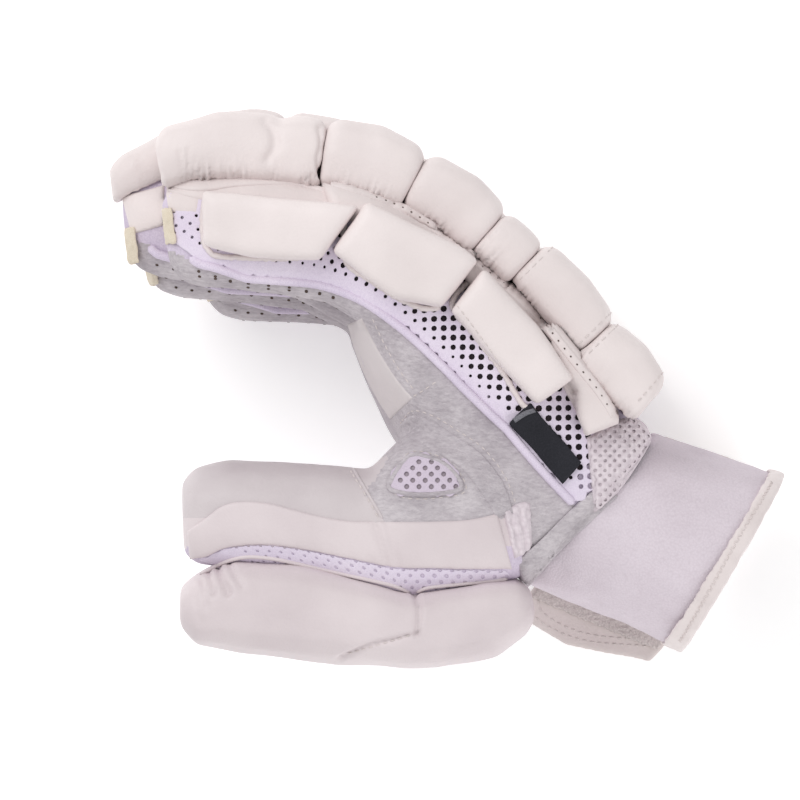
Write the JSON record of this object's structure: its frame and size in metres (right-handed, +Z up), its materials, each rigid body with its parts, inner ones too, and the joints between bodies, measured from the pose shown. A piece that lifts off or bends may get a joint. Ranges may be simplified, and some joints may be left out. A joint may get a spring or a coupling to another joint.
{
  "type": "cricket batting glove",
  "caption": "Right-hand cricket batting glove with sausage-roll finger guards, side guards, a padded thumb, suede palm, mesh gussets and an elastic wristband.",
  "frame": {"origin": "middle of the glove's outline, on the surface that its little-finger side rests on", "axes": "+X from the fingertips towards the wrist, +Y towards the back of the hand, +Z up, towards the thumb and index side"},
  "size_m": [0.231, 0.1898, 0.1208],
  "materials": {
    "ivory_leather": "soft pebbled calf leather over foam",
    "grey_suede": "brushed suede",
    "lilac_mesh": "open spacer mesh",
    "lilac_binding": "folded woven tape over a cord",
    "grey_leather": "smooth leather",
    "towelling": "brushed elastic towelling",
    "beige_tape": "folded cotton tape",
    "hook_tape": "hook tape",
    "black_weave": "woven label, bare"
  },
  "bodies": {
    "root": {"hand_back": "lilac_mesh", "palm_suede": "grey_suede", "thumb_tip_leather": "grey_leather", "thumb_side_panel": "ivory_leather", "thumb_back_mesh": "lilac_mesh", "little_tip_roll": "ivory_leather", "little_hinge_roll": "ivory_leather", "little_middle_roll": "ivory_leather", "little_base_roll": "ivory_leather", "little_knuckle_roll": "ivory_leather", "little_back_roll": "ivory_leather", "little_wrist_roll": "ivory_leather", "little_piping": "lilac_binding", "little_tip_tape": "beige_tape", "ring_tip_roll": "ivory_leather", "ring_hinge_roll": "ivory_leather", "ring_middle_roll": "ivory_leather", "ring_base_roll": "ivory_leather", "ring_knuckle_roll": "ivory_leather", "ring_back_roll": "ivory_leather", "ring_wrist_roll": "ivory_leather", "ring_piping": "lilac_binding", "ring_tip_tape": "beige_tape", "middle_tip_roll": "ivory_leather", "middle_hinge_roll": "ivory_leather", "middle_middle_roll": "ivory_leather", "middle_base_roll": "ivory_leather", "middle_knuckle_roll": "ivory_leather", "middle_back_roll": "ivory_leather", "middle_wrist_roll": "ivory_leather", "middle_piping": "lilac_binding", "middle_tip_tape": "beige_tape", "index_tip_roll": "ivory_leather", "index_hinge_roll": "ivory_leather", "index_middle_roll": "ivory_leather", "index_base_roll": "ivory_leather", "index_knuckle_roll": "ivory_leather", "index_back_roll": "ivory_leather", "index_wrist_roll": "ivory_leather", "index_piping": "lilac_binding", "index_tip_tape": "beige_tape", "index_tip_guard": "ivory_leather", "little_tip_guard": "ivory_leather", "index_middle_guard": "ivory_leather", "little_middle_guard": "ivory_leather", "index_base_guard": "ivory_leather", "little_base_guard": "ivory_leather", "wrist_side_panel": "ivory_leather", "thumb_tip_roll": "ivory_leather", "thumb_base_roll": "ivory_leather", "cuff": "towelling", "cuff_binding": "ivory_leather", "strap": "towelling", "strap_hook": "hook_tape", "label_tab": "black_weave"}
  },
  "joints": []
}
